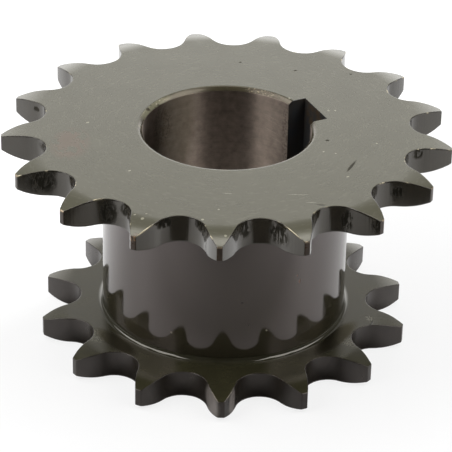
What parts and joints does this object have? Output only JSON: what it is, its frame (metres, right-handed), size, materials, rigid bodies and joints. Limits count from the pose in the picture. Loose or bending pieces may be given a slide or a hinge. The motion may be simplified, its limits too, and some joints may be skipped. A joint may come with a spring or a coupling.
{
  "type": "double chain sprocket",
  "caption": "Double chain sprocket with a larger and a smaller toothed ring at the ends of a plain barrel, and a keyed through bore, in blackened steel.",
  "frame": {"origin": "on the bore's axis, at the underside of the lower ring, which is the face that the part stands on", "axes": "+Z along the bore towards the larger ring, +X from the axis towards the middle of the keyway, +Y completes a right-handed set"},
  "size_m": [0.0926, 0.0929, 0.047],
  "materials": {
    "blackened_steel": "dark olive black, glossy on the barrel and the flanks, satin on the end faces"
  },
  "bodies": {
    "root": {"double_sprocket": "blackened_steel"}
  },
  "joints": []
}
